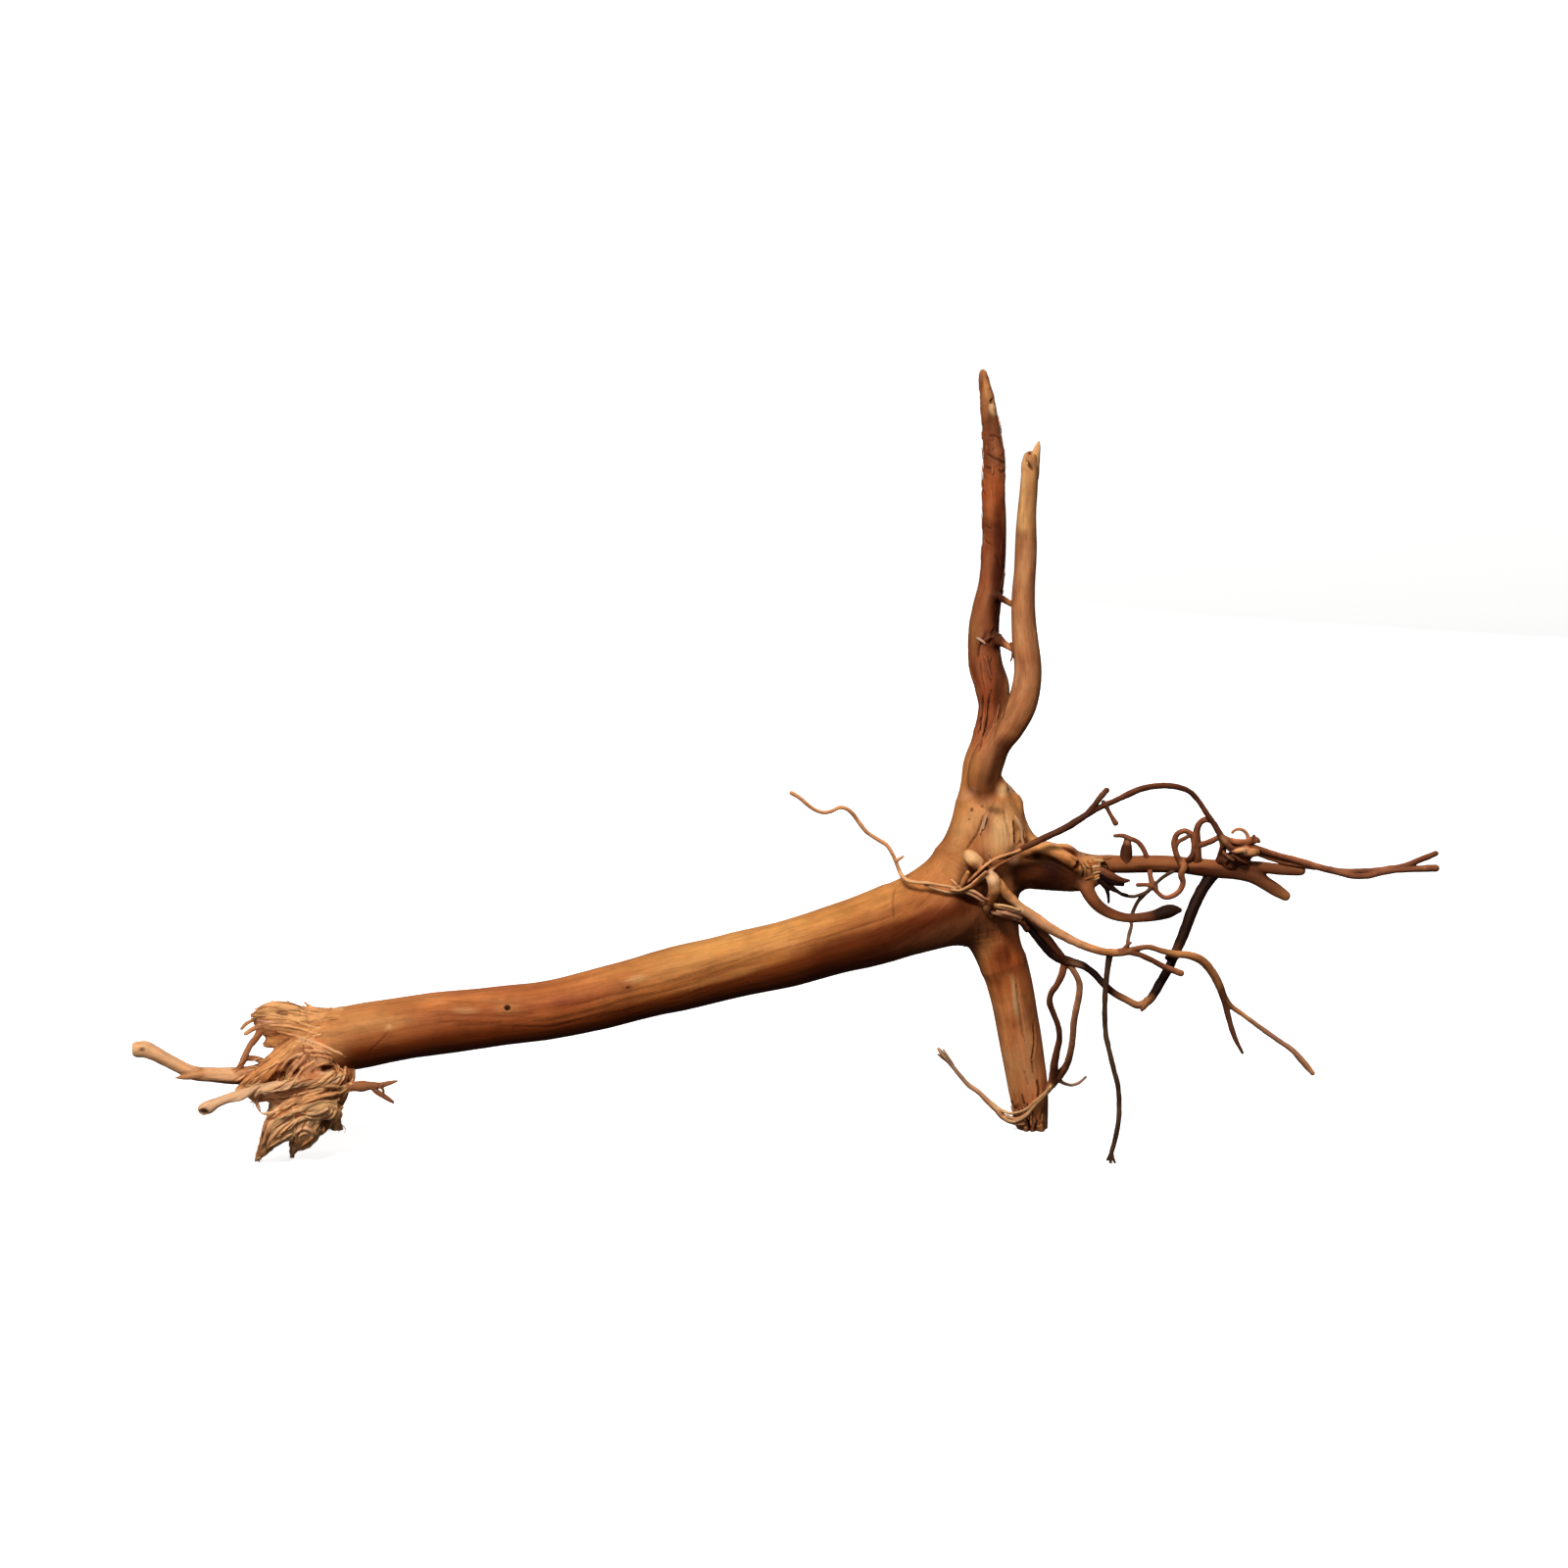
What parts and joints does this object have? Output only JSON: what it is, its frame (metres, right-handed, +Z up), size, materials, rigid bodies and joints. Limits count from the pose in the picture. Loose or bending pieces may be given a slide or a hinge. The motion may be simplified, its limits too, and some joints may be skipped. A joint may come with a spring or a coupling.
{
  "type": "bogwood root",
  "caption": "Dried bogwood root: a long, nearly level trunk with a torn, frayed end, a swollen collar with upright prongs, a broken leg and a fan of twisting rootlets.",
  "frame": {"origin": "Middle of the bounding box in X and Y, on the level that the broken leg, the frayed end and the fine rootlet stand on.", "axes": "+X to the right along the trunk, from the frayed end towards the rootlets; +Y away from the viewer; +Z up along the prongs."},
  "size_m": [0.5323, 0.0762, 0.3219],
  "materials": {
    "bogwood": "matt"
  },
  "bodies": {
    "root": {"bogwood_root": "bogwood"}
  },
  "joints": []
}
